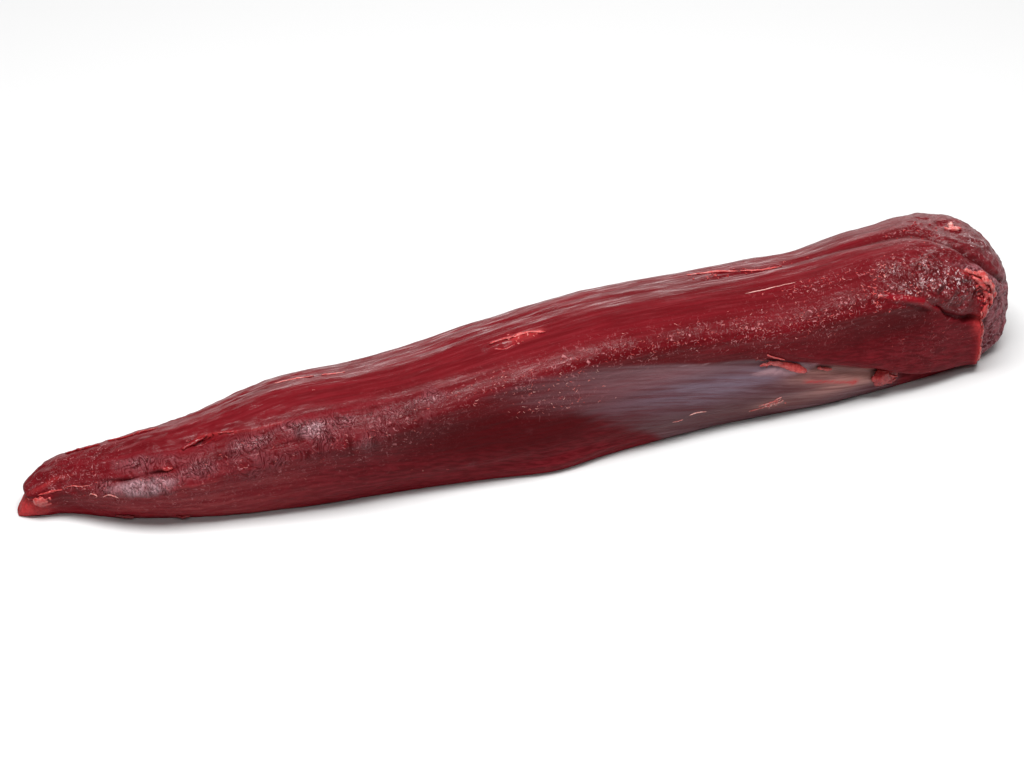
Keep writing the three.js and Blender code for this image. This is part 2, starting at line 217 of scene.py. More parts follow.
def lattice(cells, seed):
    """A repeatable random number from -1 to 1 for each whole-numbered cell."""
    h = cells[..., 0] * HASH_X ^ cells[..., 1] * HASH_Y ^ cells[..., 2] * HASH_Z ^ seed * HASH_SEED
    h = (h ^ (h >> 13)) * HASH_MIX & 0xFFFFFFFF
    return ((h ^ h >> 16) & 0xFFFF) / 32767.5 - 1


def lattice_noise(places, seed):
    """Smooth noise from -1 to 1, with features about one unit apart."""
    cell = np.floor(places).astype(np.int64)
    t = places - cell
    t = t * t * (3 - 2 * t)
    total = 0
    for corner in product((0, 1), repeat=3):
        weight = np.prod(np.where(corner, t, 1 - t), axis=-1)
        total = total + weight * lattice(cell + np.array(corner), seed)
    return total


# A turn of the lattice, in which its square pattern doesn't line up with the plain one
TURNED = np.array([[0.36, 0.48, -0.8], [-0.8, 0.6, 0], [0.48, 0.64, 0.6]])
TURNED_SEED = 100
LATTICE_SHARE = 0.7


def noise(places, seed):
    """Noise in which the square pattern of the lattice doesn't show."""
    return LATTICE_SHARE * (lattice_noise(places, seed) + lattice_noise(places @ TURNED, seed + TURNED_SEED))


# The surface


def arc(a_from, a_to, s):
    """Distance in millimetres around the meat from one angle to another at s."""
    return np.radians((a_to - a_from + 180) % 360 - 180) * profile(RADIUS, s)


def groove_height(groove, s, a):
    widths = arc(profile(groove["line"], s), a, s) / groove["width"]
    depth = profile(groove["depth"], s)
    shelf = groove["shelf"] * unit(depth) * bell(widths / SHELF_FADE)
    return shelf * (rise(widths / SHELF_RISE) - 0.5) - depth * bell(widths)


def lump_height(lump, s, a):
    lump_s, lump_a, length, width, height = lump
    return height * bell((s - lump_s) / length) * bell(arc(lump_a, a, s) / width)


def flap_height(s, a):
    """The front lobe of the head ends in a rimmed edge, and the rest of the head lies lower behind it."""
    behind = s - profile(FLAP_EDGE, a)
    drop = profile(FLAP_DROP, a)
    rim = FLAP_RIM * drop / FLAP_FULL_DROP * bell((behind - FLAP_RIM_PLACE) / FLAP_RIM_WIDTH)
    return rim - drop * rise(behind / FLAP_SOFTNESS) * unit(1 - (behind - FLAP_FADE_START) / FLAP_FADE_LENGTH)


def notch_height(s, a):
    return -NOTCH["depth"] * unit(1 - s / NOTCH["length"]) * bell(arc(NOTCH["a"], a, s) / NOTCH["width"])


def split_back(s, z):
    """How far the split end of the tail lies back towards the head at a height z."""
    above_split = (z - SPLIT_Z) / SPLIT_WIDTH
    upper = rise(above_split)
    fade = unit(1 - s / NUB_LENGTH) ** 2
    blunt = np.maximum(2 * BLUNT - s, 0) ** 2 / (4 * BLUNT)
    return upper * blunt + fade * ((1 - upper) * profile(NUB, z) + SPLIT_DEPTH * bell(above_split))


def nub_drop(section, s, z):
    """How much lower the nub below the split lies than the plain tip of the tail, so that it rests on the table."""
    low = np.where(s < TAIL_CAP, np.clip(section["z"] - section["height"] / 2, 0, SPLIT_Z - 1), 0)
    return low * unit((SPLIT_Z - z) / (SPLIT_Z - low))


def bundle_height(s, a):
    """Long soft swellings of the muscle bundles, as three waves that wander around the meat."""
    turn = np.radians(a)
    u = s / 100
    fade = unit(s / BUNDLE_TAIL_FADE) * unit((LENGTH - 2 - s) / BUNDLE_HEAD_FADE)
    return fade * (
        0.2 * np.sin(7 * turn + 2.1 * np.sin(1.7 * u) + 0.8 * u) * np.sin(1.3 * u + 0.4)
        + 0.16 * np.sin(11 * turn - 1.6 * u + 1) * np.sin(2.9 * u + 1.9)
        + 0.25 * np.sin(3 * turn + 2.2 * u + 0.5) * np.sin(4.1 * u)
    )


def relief_height(s, a):
    """Height in millimetres of the lobes, seams and lumps over the plain section."""
    height = flap_height(s, a) + notch_height(s, a) + bundle_height(s, a)
    for groove in GROOVES:
        height = height + groove_height(groove, s, a)
    for lump in LUMPS:
        height = height + lump_height(lump, s, a)
    thin = np.clip(profile(RADIUS, s) / THIN_RADIUS, 0.3, 1)
    near_head_tip = np.clip((LENGTH + 1 - s) / 6, 0.1, 1)
    return height * thin * near_head_tip


def section_at(s):
    """The plain section at s: its middle, its height and width, and how far the rounded ends have closed it."""
    full = profile(HEIGHT, s)
    sink = SINK * np.minimum(full / FULL_HEIGHT, 1)
    into_head = unit((s - (LENGTH - HEAD_CAP)) / HEAD_CAP)
    into_tail = unit((TAIL_CAP - s) / TAIL_CAP)
    cap = (1 - into_head**HEAD_CAP_POWER) ** (1 / HEAD_CAP_POWER) * np.sqrt(1 - into_tail**2)
    tip_z = np.where(into_head > 0, HEAD_TIP_Z, TAIL_TIP_Z)
    return dict(
        y=profile(SWAY, s),
        z=cap * (full - sink) / 2 + (1 - cap) * tip_z,
        height=(full + sink) * cap,
        width=profile(WIDTH, s) * cap,
        cap=cap,
    )


def squarer(v):
    return np.sign(v) * np.abs(v) ** (2 / SECTION_POWER)


def surface_points(s, a):
    """Points of the surface at (s, a) in millimetres, flattened where they would reach below the table."""
    section = section_at(s)
    y = -section["width"] / 2 * squarer(np.cos(np.radians(a)))
    z = section["height"] / 2 * squarer(np.sin(np.radians(a)))
    radius = np.maximum(np.hypot(y, z), 1e-9)
    grown = np.maximum(radius + relief_height(s, a), LEAST_RADIUS) / radius
    size = section["height"] / (FULL_HEIGHT + SINK)
    pull = size * profile(PULL, profile(BEND, s) - a)
    z = section["z"] + z * grown
    z = z - nub_drop(section, s, z)
    x = s - LENGTH / 2 + split_back(s, z) + profile(PULL_ALONG, s) * pull
    y = section["y"] + y * grown + PULL_BACK * pull
    z = z - PULL_DOWN * pull - size * profile(DROP, a)
    return np.stack([x, y, np.maximum(z, 0)], -1)


def fibre_places(s, a):
    """Places in a bundle of fibres that tapers less than the meat does, and whose fibres run together at its tips."""
    across = (FIBRE_RADIUS + FIBRE_SHARE * profile(RADIUS, s)) * section_at(s)["cap"]
    return np.stack([s, -across * squarer(np.cos(np.radians(a))), across * squarer(np.sin(np.radians(a)))], -1)


# The grid of the mesh


def spread(start, end, spacing):
    """Places from start to end whose distances follow a spacing profile."""
    places = [start]
    while places[-1] < end:
        places.append(places[-1] + float(profile(spacing, places[-1])))
    return start + (np.array(places) - start) * (end - start) / (places[-1] - start)


def ring_places():
    """The places of the rings along the meat, closer together where the ends round off."""
    tail = TAIL_CAP * (1 - np.cos(np.pi / 2 * np.arange(1, TAIL_RINGS + 1) / (TAIL_RINGS + 1)))
    quarter = np.sin(np.pi / 2 * np.arange(1, HEAD_RINGS + 1) / (HEAD_RINGS + 1))
    head = LENGTH - HEAD_CAP * (1 - quarter ** (2 / HEAD_CAP_POWER))
    return np.concatenate([tail, spread(TAIL_CAP, LENGTH - HEAD_CAP, RING_SPACING), head])


def grid_normals(points):
    """Outward normals of a grid of points whose second direction closes on itself."""
    along = np.gradient(points, axis=0)
    around = np.roll(points, -1, axis=1) - np.roll(points, 1, axis=1)
    normals = np.cross(along, around)
    return normals / np.maximum(np.linalg.norm(normals, axis=-1, keepdims=True), 1e-12)


def grid_faces(rings, around):
    """Quads between the rings, and triangles to the tips, whose points follow the rings'."""
    j = np.arange(around)
    following = (j + 1) % around
    faces = []
    for i in range(rings - 1):
        low, high = i * around, (i + 1) * around
        faces += np.stack([low + j, high + j, high + following, low + following], -1).tolist()
    tail, head, last = rings * around, rings * around + 1, (rings - 1) * around
    faces += np.stack([np.full(around, tail), j, following], -1).tolist()
    faces += np.stack([np.full(around, head), last + following, last + j], -1).tolist()
    return faces


def smooth_mesh(name, points, faces):
    """A smooth mesh of points in millimetres."""
    made = bpy.data.meshes.new(name)
    made.from_pydata((np.array(points) * MM).tolist(), [], faces)
    made.polygons.foreach_set("use_smooth", [True] * len(made.polygons))
    return made


s_rings = ring_places()
turns = spread(FIRST_TURN, FIRST_TURN + 360, TURN_SPACING)[:-1]
S, A = np.meshgrid(s_rings, turns, indexing="ij")
base = surface_points(S, A)
middle = (base.min(axis=(0, 1)) + base.max(axis=(0, 1))) / 2 * [1, 1, 0]
base = base - middle
fibre = fibre_places(S, A)


# Regions of the surface, each from 0 to 1. Their angles run from -180 to 180.


A = (A + 180) % 360 - 180


def spots(patches):
    """The sum of soft oval patches, each given as (s, a, half length, half width, strength)."""
    total = 0
    for s, a, length, width, strength in patches:
        total = total + strength * bell(np.hypot((S - s) / length, arc(a, A, S) / width))
    return total


def off_line(line):
    """Distance in millimetres above a line of (s, a) points."""
    return arc(profile(line, S), A, S)


def along(start, end, soft):
    """1 between two distances along the meat, with soft ends in millimetres."""
    return rise((S - start) / soft) * rise((end - S) / soft)


def stroke(line, width, soft=2):
    """A soft line along the meat through (s, a) points."""
    return bell(off_line(line) / width) * along(line[0][0], line[-1][0], soft)


def between(low, high, soft):
    """1 between two angles, with soft edges in degrees."""
    return rise((A - low) / soft) * rise((high - A) / soft)


def uneven(size, seed):
    """Noise with features of a size in millimetres."""
    return noise(base / size, seed)


def stringy(length, width, seed):
    """Noise with features that lie along the fibres."""
    return noise(fibre / [length, width, width], seed)


height = base[..., 2]
behind_flap = S - profile(FLAP_EDGE, A)
head_seam = rise(off_line(SEAM["line"]) / 1.5)

# The head: the lobe behind the seam, the cut end and the rough front lobe
back_lobe = head_seam * rise((S - 306) / 8) * between(60, 150, 14)
cut_face = rise(behind_flap - 0.8) * between(-75, 60, 5) * (1 - head_seam)
cut_round = rise((S - 331 + 6 * uneven(7, 39)) / 4) * (0.7 - 0.45 * back_lobe)
cut = unit(np.maximum(cut_face, cut_round))
front_rough = (1 - head_seam) * (1 - cut) * unit(0.85 + 0.9 * uneven(7, 37)) * unit(spots([
    (307, 60, 12, 8.5, 1.2), (312, 40, 9, 7, 1.1), (294, 50, 7, 4, 0.8), (290, 69, 5, 3.5, 0.9),
]))

# The silver skin and its tints
SILVER_TOP = [
    (140, 50), (150, 50), (160, 50.5), (170, 46), (180, 46), (190, 41.5), (200, 37), (210, 32.5), (220, 27.5),
    (230, 25), (240, 21.5), (250, 15.5), (260, 8.5), (270, 1.5), (280, -7.5), (288, -16.5),
]
SILVER_LOW = [(140, 35), (150, 31), (160, 24), (170, 17), (180, 5), (190, -5), (200, -22), (215, -60), (290, -70)]
SILVER_START, SILVER_END = 150, 289
ragged = stringy(9, 1.4, 31)
silver = (1 - rise(off_line(SILVER_TOP) / 0.8)) * rise((off_line(SILVER_LOW) + 2.5 * ragged) / 3.5)
silver = silver * rise((S - SILVER_START + 9 * ragged) / 9) * rise((SILVER_END - S) / 3)
silver = silver * (1 - 0.5 * rise((190 - S) / 30))
# Distance above a line that runs along the silver skin's upper edge, as its fibres and those of the lower front do
skew = arc(49.5 - 0.45 * (S - 140), A, S)
skin_edge = stroke([(196, 37.5), (205, 33.5), (215, 29.5), (225, 25.5), (240, 20)], 0.35, 3)
blue = unit(spots([
    (188, 10, 12, 3, 0.25), (204, 8, 13, 5, 0.8), (219, 7, 12, 5, 1.1), (234, 9, 12, 4, 1), (248, 9, 9, 2.5, 0.8),
]))
low_skin = unit(spots([
    (215, -12, 26, 6, 1), (236, -24, 20, 4, 0.7), (196, 0, 12, 6, 0.5), (222, 17, 16, 3, 0.4),
]))
grey = unit(spots([(248, 14, 14, 3, 1), (228, 20, 20, 3, 0.8), (200, 28, 22, 4, 0.7), (178, 36, 16, 4, 0.5)]))
peach = unit(spots([
    (254, 3, 7, 2.5, 0.8), (270, -7, 13, 3.5, 1), (279, -11, 9, 3.5, 0.9), (262, 2, 8, 2, 0.8),
    (242, -16, 5, 2.5, 0.7), (262, -14, 12, 3, 0.5),
]))
rusty = unit(spots([(236, -20, 12, 3, 0.8), (222, -14, 12, 2.5, 0.4), (250, -22, 14, 3, 0.6)]))

# Wet places, whose paler colour is partly a thin membrane and partly painted sheen, and the leathery film near the
# tail with its pale spots and the gaps between its pieces, painted dark as shadow
wet_painted_sheen = 1.5 * spots([
    (36, 26, 9, 3.4, 1.3), (55, 37, 9, 3.6, 0.8), (69, 52, 7, 3, 0.9), (82, 58, 5, 2.6, 0.8), (90, 48, 6, 4.6, 1.1),
    (100, 53, 5, 3, 0.6), (105, 29, 6, 4.5, 0.7), (113, 53, 6, 3.6, 0.4), (129, 58, 11, 3.2, 0.55),
    (34, 66, 8, 3, 0.7), (291, 69, 4, 3, 1), (297, 49, 6, 4, 1.1), (304, 62, 8, 6, 1.1), (309, 51, 7, 6, 1),
    (316, 40, 5, 5, 0.9), (318, 82, 7, 8, 0.8), (327, 74, 6, 6, 0.8),
])
wet_painted_sheen = unit(wet_painted_sheen + 0.5 * uneven(5, 32) + 0.15 * uneven(2, 33) - 0.45)
leathery = unit(spots([
    (60, 30, 18, 6, 1), (84, 40, 24, 7, 1), (108, 42, 20, 8, 0.7), (24, 30, 8, 5, 0.6), (40, 56, 14, 3.5, 0.8),
    (62, 57, 14, 3, 0.7),
]))
film = unit(1.1 * wet_painted_sheen * (1 - rise((S - 200) / 20)) + leathery * (0.45 + 0.55 * uneven(4, 38)))
# Milky spots on the film: their pale colour is partly a pale membrane and partly painted sheen
milky_painted_sheen = unit(spots([
    (35, 25.5, 8.5, 3, 1.1), (44, 29, 3, 1.5, 0.3), (89, 49, 6, 3.6, 0.6), (250, 9, 9, 2, 1),
    (243, 12, 9, 1.2, 0.7),
]))
milky_painted_sheen = unit(2.2 * milky_painted_sheen * (0.85 + 0.4 * uneven(3, 36)) - 0.5)
# The gaps are cut into the relief, and the material paints them dark as shadow
gaps = unit(spots([
    (85, 45, 1, 3.5, 1), (94, 42, 1, 3.4, 0.9), (100, 29, 0.9, 4.5, 1), (98, 55, 0.8, 2, 0.8),
    (121, 50, 3, 4, 0.6), (90, 30, 1, 5, 0.6), (76, 52, 3, 2.4, 0.6), (108, 26, 0.9, 4, 0.6),
    (60, 44, 9, 1.2, 0.6), (80, 41, 8, 0.8, 0.6),
]))

# The lower front, the edge by the floor, the shiny top, the speckled bands and the dark places
lower_front = between(-80, 26, 16) * (1 - silver) * rise((S - 20) / 20)
by_floor = unit(1 - height / (2.5 + 3 * rise((50 - S) / 20))) * between(-100, 20, 10)
sheen = between(86, 140, 14) * along(60, 280, 40)
speck = unit((0.75 + 0.5 * uneven(6, 34)) * spots([
    (150, 52, 16, 6, 0.7), (185, 52, 22, 6, 1), (215, 48, 20, 6, 0.9), (245, 44, 18, 8, 1), (270, 48, 16, 9, 0.9),
    (285, 50, 10, 6, 0.6), (122, 45, 16, 9, 0.6), (105, 30, 16, 10, 0.9), (70, 30, 18, 9, 0.9),
    (170, 26, 12, 4, 0.6), (14, 60, 12, 8, 0.8), (20, 25, 12, 6, 0.8), (44, 4, 22, 7, 0.7), (22, 100, 16, 7, 0.5),
    (305, 95, 12, 6, 0.7), (262, 74, 16, 3, 0.7), (280, 76, 10, 3, 0.6), (290, 62, 8, 6, 0.7),
    (300, 14, 16, 12, 0.3),
]))
dark = unit(spots([
    (56, 71.5, 3.5, 1, 1), (128, 20, 18, 9, 0.7), (150, 14, 22, 9, 1), (172, 6, 18, 7, 0.9), (292, 28, 11, 8, 0.8),
    (272, 22, 16, 5, 0.6), (294, 58, 5, 4, 0.8), (118, 36, 10, 4, 0.5), (205, 44, 30, 3, 0.3),
    (196, -12, 16, 5, 0.5), (123, 54, 20, 4.5, 0.45),
]))

# The red ledge above the crack, torn places, whose bright red is partly painted light, and the shade in grooves and
# behind the front lobe
ledge = unit(1.4 * stroke([(285, 50), (291, 45), (296, 40), (301, 33.5), (304, 29.5)], 1.2, 1.5))
# Bright red of torn tissue; at the rim of the front lobe, the tip of the tail and the corner under the crack it is
# also painted light
torn_and_painted_light = unit(
    1.1 * bell((behind_flap + 0.7) / 1.4) * between(-24, 26, 4)
    + 0.45 * bell((behind_flap + 1) / 1.8) * between(22, 56, 4)
    + 0.6 * stroke([(50, 67), (53, 72), (56, 77), (60, 76.5), (63, 74), (67, 70)], 0.45)
    + 0.3 * stroke([(66, 71), (72, 66), (82, 64)], 0.5)
    + 0.9 * stroke([(254, -1), (262, -5), (272, -12)], 0.5)
    + bell(S / 3.5) * rise(6.5 - height)
    + spots([(163, 85, 6, 1.6, 0.7)]) * (0.6 + 0.8 * uneven(2.2, 35))
    + spots([
        (5, -8, 4, 3, 0.5), (9, 60, 7, 1.2, 0.35), (272, -12, 1.4, 1.2, 0.9), (44, 46, 2, 1.5, 0.4),
        (317.6, 10, 2.2, 4, 0.8),
    ])
)
GROOVE_CORE = 0.7
shade = 0.8 * bell(behind_flap - 2.3) * between(2, 48, 8)
for groove, share in ((SEAM, 0.33), (TUCK, 0.16), (CRACK, 0.33), (TAIL_LIP, 0.33)):
    in_groove = bell(off_line(groove["line"]) / (GROOVE_CORE * groove["width"]))
    shade = shade + share * profile(groove["depth"], S) * in_groove
shade = unit(shade)


# Fine relief in millimetres, along the normals of the smooth surface


near_top = between(84, 132, 8) * along(50, 300, 20)
calm = (1 - 0.7 * silver) * (1 - 0.65 * between(50, 86, 8))
ridges = 1 - np.abs(stringy(34, 2.3, 15))
rough_relief = 1.3 * (0.5 - np.abs(uneven([6, 3.2, 3.2], 16))) + 0.5 * uneven(2.4, 18) + 0.2 * uneven(1.2, 17)
fine = (
    0.14 * calm * stringy(18, 2.6, 11)
    + 0.07 * calm * stringy(8, 1.3, 12)
    + 0.35 * uneven(19, 13)
    + 0.14 * uneven(7, 14)
    + 0.05 * uneven(2.4, 21)
    + near_top * 0.4 * (ridges**3 - 0.3)
    + (1.1 * front_rough + 0.7 * back_lobe + 0.7 * cut) * rough_relief
    + speck * 0.16 * uneven(1.6, 20)
    + 0.5 * bell((S - 6) / 5) * uneven([2.4, 2, 2], 24)
    + rise((90 - S) / 40) * (0.26 * uneven([4, 2.2, 2.2], 22) + 0.16 * uneven(1.5, 23))
    + wet_painted_sheen * 0.2 * (1 - np.abs(uneven([2, 3.6, 3.6], 19)))
    - gaps * 0.5
    + 0.8 * ledge
    - 0.9 * stroke([(287, 43), (293, 38), (300, 30)], 0.6)
    + spots([(157, 82, 2.2, 1.1, -1.2), (165, 84.5, 4, 1.3, 0.7), (155, 85, 4, 0.9, 0.5), (56, 72, 4, 1.1, -1.5)])
    + 0.6 * stroke([(50, 68), (53, 73), (56, 78), (60, 77), (66, 72), (72, 67)], 0.7)
)
# It fades out at the table and at both tips
FADE_HEIGHT, FADE_LENGTH = 1.5, 3
fine = fine * unit(height / FADE_HEIGHT) * unit((LENGTH - S) / FADE_LENGTH) * unit(S / FADE_LENGTH)
skin_normals = grid_normals(base)
skin = base + skin_normals * fine[..., None]
skin[..., 2] = np.maximum(skin[..., 2], 0)

tips = np.array([
    [-LENGTH / 2 + split_back(0, TAIL_TIP_Z), SWAY[0][1], TAIL_TIP_Z],
    [LENGTH / 2, SWAY[-1][1], HEAD_TIP_Z],
]) - middle
mesh = smooth_mesh("tenderloin_meat", np.concatenate([skin.reshape(-1, 3), tips]), grid_faces(*S.shape))

# Fields of the mesh: a value for each point of the grid, and the nearest ring's average for each tip
FIELDS = dict(
    silver=silver, blue=blue, grey=grey, peach=peach, rusty=rusty, wet_painted_sheen=wet_painted_sheen, speck=speck, dark=dark, torn_and_painted_light=torn_and_painted_light,
    cut=cut, rough=unit(front_rough + 0.35 * back_lobe), shade=shade, lower_front=lower_front, by_floor=by_floor,
    sheen=sheen, smooth=between(46, 90, 8), film=film, gaps=gaps, milky_painted_sheen=milky_painted_sheen, ledge=ledge, low_skin=low_skin,
    skin_edge=skin_edge, skew=skew, along=S, tail=lower_front * rise((80 - S) / 30),
)
for name, field in FIELDS.items():
    values = np.concatenate([field.ravel(), [field[0].mean(), field[-1].mean()]]).astype(np.float32)
    mesh.attributes.new(name, "FLOAT", "POINT").data.foreach_set("value", values)
values = np.concatenate([fibre.reshape(-1, 3), [fibre[0].mean(0), fibre[-1].mean(0)]]).astype(np.float32)
mesh.attributes.new("fibre", "FLOAT_VECTOR", "POINT").data.foreach_set("vector", values.ravel())


# Scraps


# Torn flaps, strands and bits of fat that lie on the meat, as (path of (s, a) points, width, thickness, how far the
# middle is lifted off the meat, how pale from 0 to 1)
SCRAPS = [
    ([(254.5, 5.5), (250, 11), (246, 16), (241, 21)], 2.8, 0.9, 0.9, 0.45),
    ([(247, 16), (242, 18), (238, 18)], 0.9, 0.5, 0.8, 0.5),
    ([(247, 20), (243, 24), (240.5, 27)], 0.8, 0.5, 0.4, 0.5),
    ([(278, -13.5), (283, -15), (288, -17)], 4.2, 1.6, 0.9, 0.3),
    ([(279, -17), (284, -17.5), (289, -19)], 3.6, 1.4, 0.9, 0.3),
    ([(280, -20.5), (284, -21), (288, -22)], 2.6, 1.1, 0.6, 0.26),
    ([(281, -12), (285, -13), (289, -14.5)], 1.8, 1, 1.5, 0.42),
    ([(258.5, 6), (261, 4), (264, 2)], 1.3, 0.8, 0.6, 0.45),
    ([(152, 86), (156, 86.5), (161, 86)], 0.8, 0.7, 0.3, 0.35),
    ([(160, 86), (165, 85.5), (171, 82.5)], 1.3, 0.9, 0.1, 0.45),
    ([(153, 82), (156, 80.5), (160, 80.5)], 0.9, 0.6, 0, 0.3),
    ([(240, 78.5), (249, 79.5), (259, 80)], 0.4, 0.3, 0.1, 1),
    ([(84, 110), (91, 108), (97, 106)], 0.6, 0.4, 0.1, 0.6),
    ([(99, 106), (103, 105), (107, 104)], 0.6, 0.4, 0.1, 0.6),
    ([(318, 93.5), (321, 92), (324, 91)], 1.8, 1.5, 0.2, 0.62),
    ([(320.6, 91.5), (321.2, 95), (321.8, 99)], 1.6, 1.8, 0.3, 0.74),
    ([(235, -21), (238, -20), (241, -19)], 0.5, 0.4, 0, 0.6),
    ([(238, -16), (242, -14), (246, -12.5)], 0.7, 0.5, 0, 0.7),
    ([(240, -19), (243, -17), (247, -15)], 0.8, 0.5, 0, 0.75),
    ([(243, -13), (244.5, -11), (246, -10)], 0.5, 0.4, 0, 0.75),
    ([(213, -9), (216, -8.5), (219.5, -9.5)], 0.45, 0.35, 0, 0.85),
    ([(207, -12), (209, -12.5), (211, -12)], 0.35, 0.3, 0, 0.7),
    ([(316, 55), (319, 52), (322, 50)], 2.2, 1.7, 0.4, 0.56),
    ([(319, 51), (322.5, 48), (324.5, 42)], 3, 2.2, 0.8, 0.52),
    ([(321, 46), (323.5, 42), (325, 36)], 2.6, 2, 0.9, 0.6),
    ([(324, 40), (325.5, 34), (325.3, 27)], 3, 2, 0.8, 0.42),
    ([(325.3, 32), (324.6, 27), (322, 21)], 1.8, 1.4, 0.5, 0.35),
    ([(318, 48), (320.5, 44), (322, 38)], 1.7, 1.4, 0.4, 0.5),
    ([(321, 38), (322, 32), (320, 27)], 1.2, 1, 0.4, 0.35),
    ([(322.5, 34), (323.5, 30), (322.5, 25)], 1.4, 1.2, 0.7, 0.55),
    ([(320.5, 25), (320, 18), (319.3, 11)], 2.8, 1.5, 0.3, 0.34),
    ([(319.6, 12), (319.6, 2), (319.3, -8)], 1.8, 1.1, 0.2, 0.36),
    ([(319.2, -7), (319.2, -16), (320.6, -26), (321.4, -32)], 2.2, 1.3, 0.3, 0.5),
    ([(318.6, 21), (318.9, 15), (318.6, 9)], 0.7, 0.6, 0.3, 0.6),
    ([(43, 47), (44.5, 46), (46, 45)], 1.3, 0.8, 0.2, 0.3),
    ([(50, 67), (52, 70.5), (55, 75), (59, 77)], 1.1, 1, 0.2, 0.12),
    ([(62, 75.5), (64.5, 73), (67, 70.5)], 0.6, 0.5, 0.1, 0.3),
    ([(54, 69), (57, 71), (61, 72)], 0.6, 0.5, 0.1, 0.1),
    ([(20, 17), (21, 21), (22.5, 18), (22, 14)], 0.35, 0.35, 0.1, 0.75),
    ([(24, 15), (25.5, 19), (27, 18), (28.5, 14)], 0.35, 0.35, 0.1, 0.75),
    ([(13, 35), (16, 38), (18, 35), (21, 36)], 0.35, 0.35, 0.1, 0.6),
    ([(3, 24), (5, 19), (8, 14)], 2.4, 0.9, 0, 0.52),
    ([(2, 12), (5, 8), (9, 6)], 1.8, 0.7, 0, 0.4),
    ([(5, 42), (9, 37), (13, 33)], 0.6, 0.5, 0, 0.4),
    ([(27, -24), (30, -25), (33, -27)], 1.2, 0.9, 0.3, 0.1),
    ([(45, -25), (47, -26), (49.5, -27)], 1.2, 0.9, 0.4, 0.15),
    ([(17, 118), (20, 115), (23, 112)], 0.9, 0.9, 0.3, 0.12),
    ([(22, 113), (25, 112), (28, 110)], 0.7, 0.7, 0.2, 0.15),
    ([(30, 112), (34, 110), (39, 109)], 0.7, 0.6, 0.2, 0.2),
    ([(38, 109), (42, 108.5), (46, 108)], 0.6, 0.6, 0.1, 0.25),
    ([(227, 113), (235, 108), (244, 101.5)], 0.8, 0.6, 0.2, 0.55),
    ([(244, 102), (251, 99), (258, 98.5)], 0.6, 0.5, 0.2, 0.5),
]
SCRAP_RINGS, SCRAP_AROUND = 18, 10

# How bluntly strands taper, how uneven their width is and in how many waves, and the share of their thickness by
# which noise of a size in millimetres moves their points about
TAPER_POWER = 3
UNEVENNESS, UNEVEN_WAVES = 0.35, 4
JITTER, JITTER_SIZE = 0.28, 0.9

# Clusters of crumbs and of short curled fibres, as (s, a, half length, half width, how many, length, width, pale)
CRUMBS = [
    (162, 84, 7, 2.2, 14, 1.3, 0.6, 0.55), (321, 38, 3, 5, 30, 1.6, 0.8, 0.45), (320, 20, 0.8, 4, 14, 1.6, 0.8, 0.2),
    (241, 20, 3, 2, 12, 2, 0.35, 0.5), (243, -16, 4, 2, 12, 2, 0.4, 0.85), (58, 75, 6, 1.2, 12, 1.5, 0.5, 0.15),
    (5, 22, 4, 2.5, 12, 1.6, 0.7, 0.5), (252, 100, 14, 1.2, 18, 1.8, 0.35, 0.4),
    (236, 104, 12, 1.5, 14, 1.8, 0.35, 0.4), (310, 96, 9, 4, 16, 1.6, 0.5, 0.3), (288, 72, 5, 3, 24, 1.3, 0.28, 0.8),
    (295, 48, 8, 2, 22, 1.2, 0.28, 0.75), (303, 60, 9, 7, 24, 1.1, 0.25, 0.75), (284, 55, 4, 7, 24, 1.8, 0.35, 0.5),
    (266, 74, 14, 2, 22, 1.4, 0.3, 0.5), (215, 50, 60, 5, 110, 1.3, 0.15, 0.62),
    (150, 52, 18, 6, 40, 1.3, 0.15, 0.62), (255, 48, 24, 8, 70, 1.3, 0.15, 0.62),
    (100, 32, 26, 12, 40, 1.2, 0.15, 0.6), (165, 24, 16, 3, 24, 1.4, 0.16, 0.7), (60, 28, 16, 8, 22, 1.2, 0.15, 0.6),
    (300, 5, 18, 16, 30, 1.3, 0.15, 0.4), (30, 40, 14, 8, 16, 1.2, 0.15, 0.6), (170, 38, 14, 4, 30, 1.2, 0.15, 0.75),
]
CRUMB_RINGS, CRUMB_AROUND, CRUMB_SEED = 6, 5, 7
# Shares of the cluster's measures, the turn and the bend in radians, and shares of the width
CRUMB_SPREAD, CRUMB_LENGTHS, CRUMB_WIDTHS, CRUMB_PALENESS = 0.6, (0.5, 1.2), (0.6, 1.3), (0.6, 1.3)
CRUMB_TURN, CRUMB_BEND = 1.2, 1
CRUMB_FLATNESS, CRUMB_LIFT = 0.8, 0.1


def on_skin(s, a):
    """The point of the skin and its outward normal at one place, between the points of the grid."""
    i = float(np.interp(s, s_rings, np.arange(len(s_rings))))
    j = float(np.interp((a - FIRST_TURN) % 360 + FIRST_TURN, turns, np.arange(len(turns))))
    i0, j0 = min(int(i), len(s_rings) - 2), min(int(j), len(turns) - 2)
    i1, j1 = i0 + 1, j0 + 1
    corners = (
        ((i0, j0), (i1 - i) * (j1 - j)), ((i1, j0), (i - i0) * (j1 - j)),
        ((i0, j1), (i1 - i) * (j - j0)), ((i1, j1), (i - i0) * (j - j0)),
    )
    point, normal = (sum(grid[corner] * weight for corner, weight in corners) for grid in (skin, skin_normals))
    return point, normal / np.linalg.norm(normal)


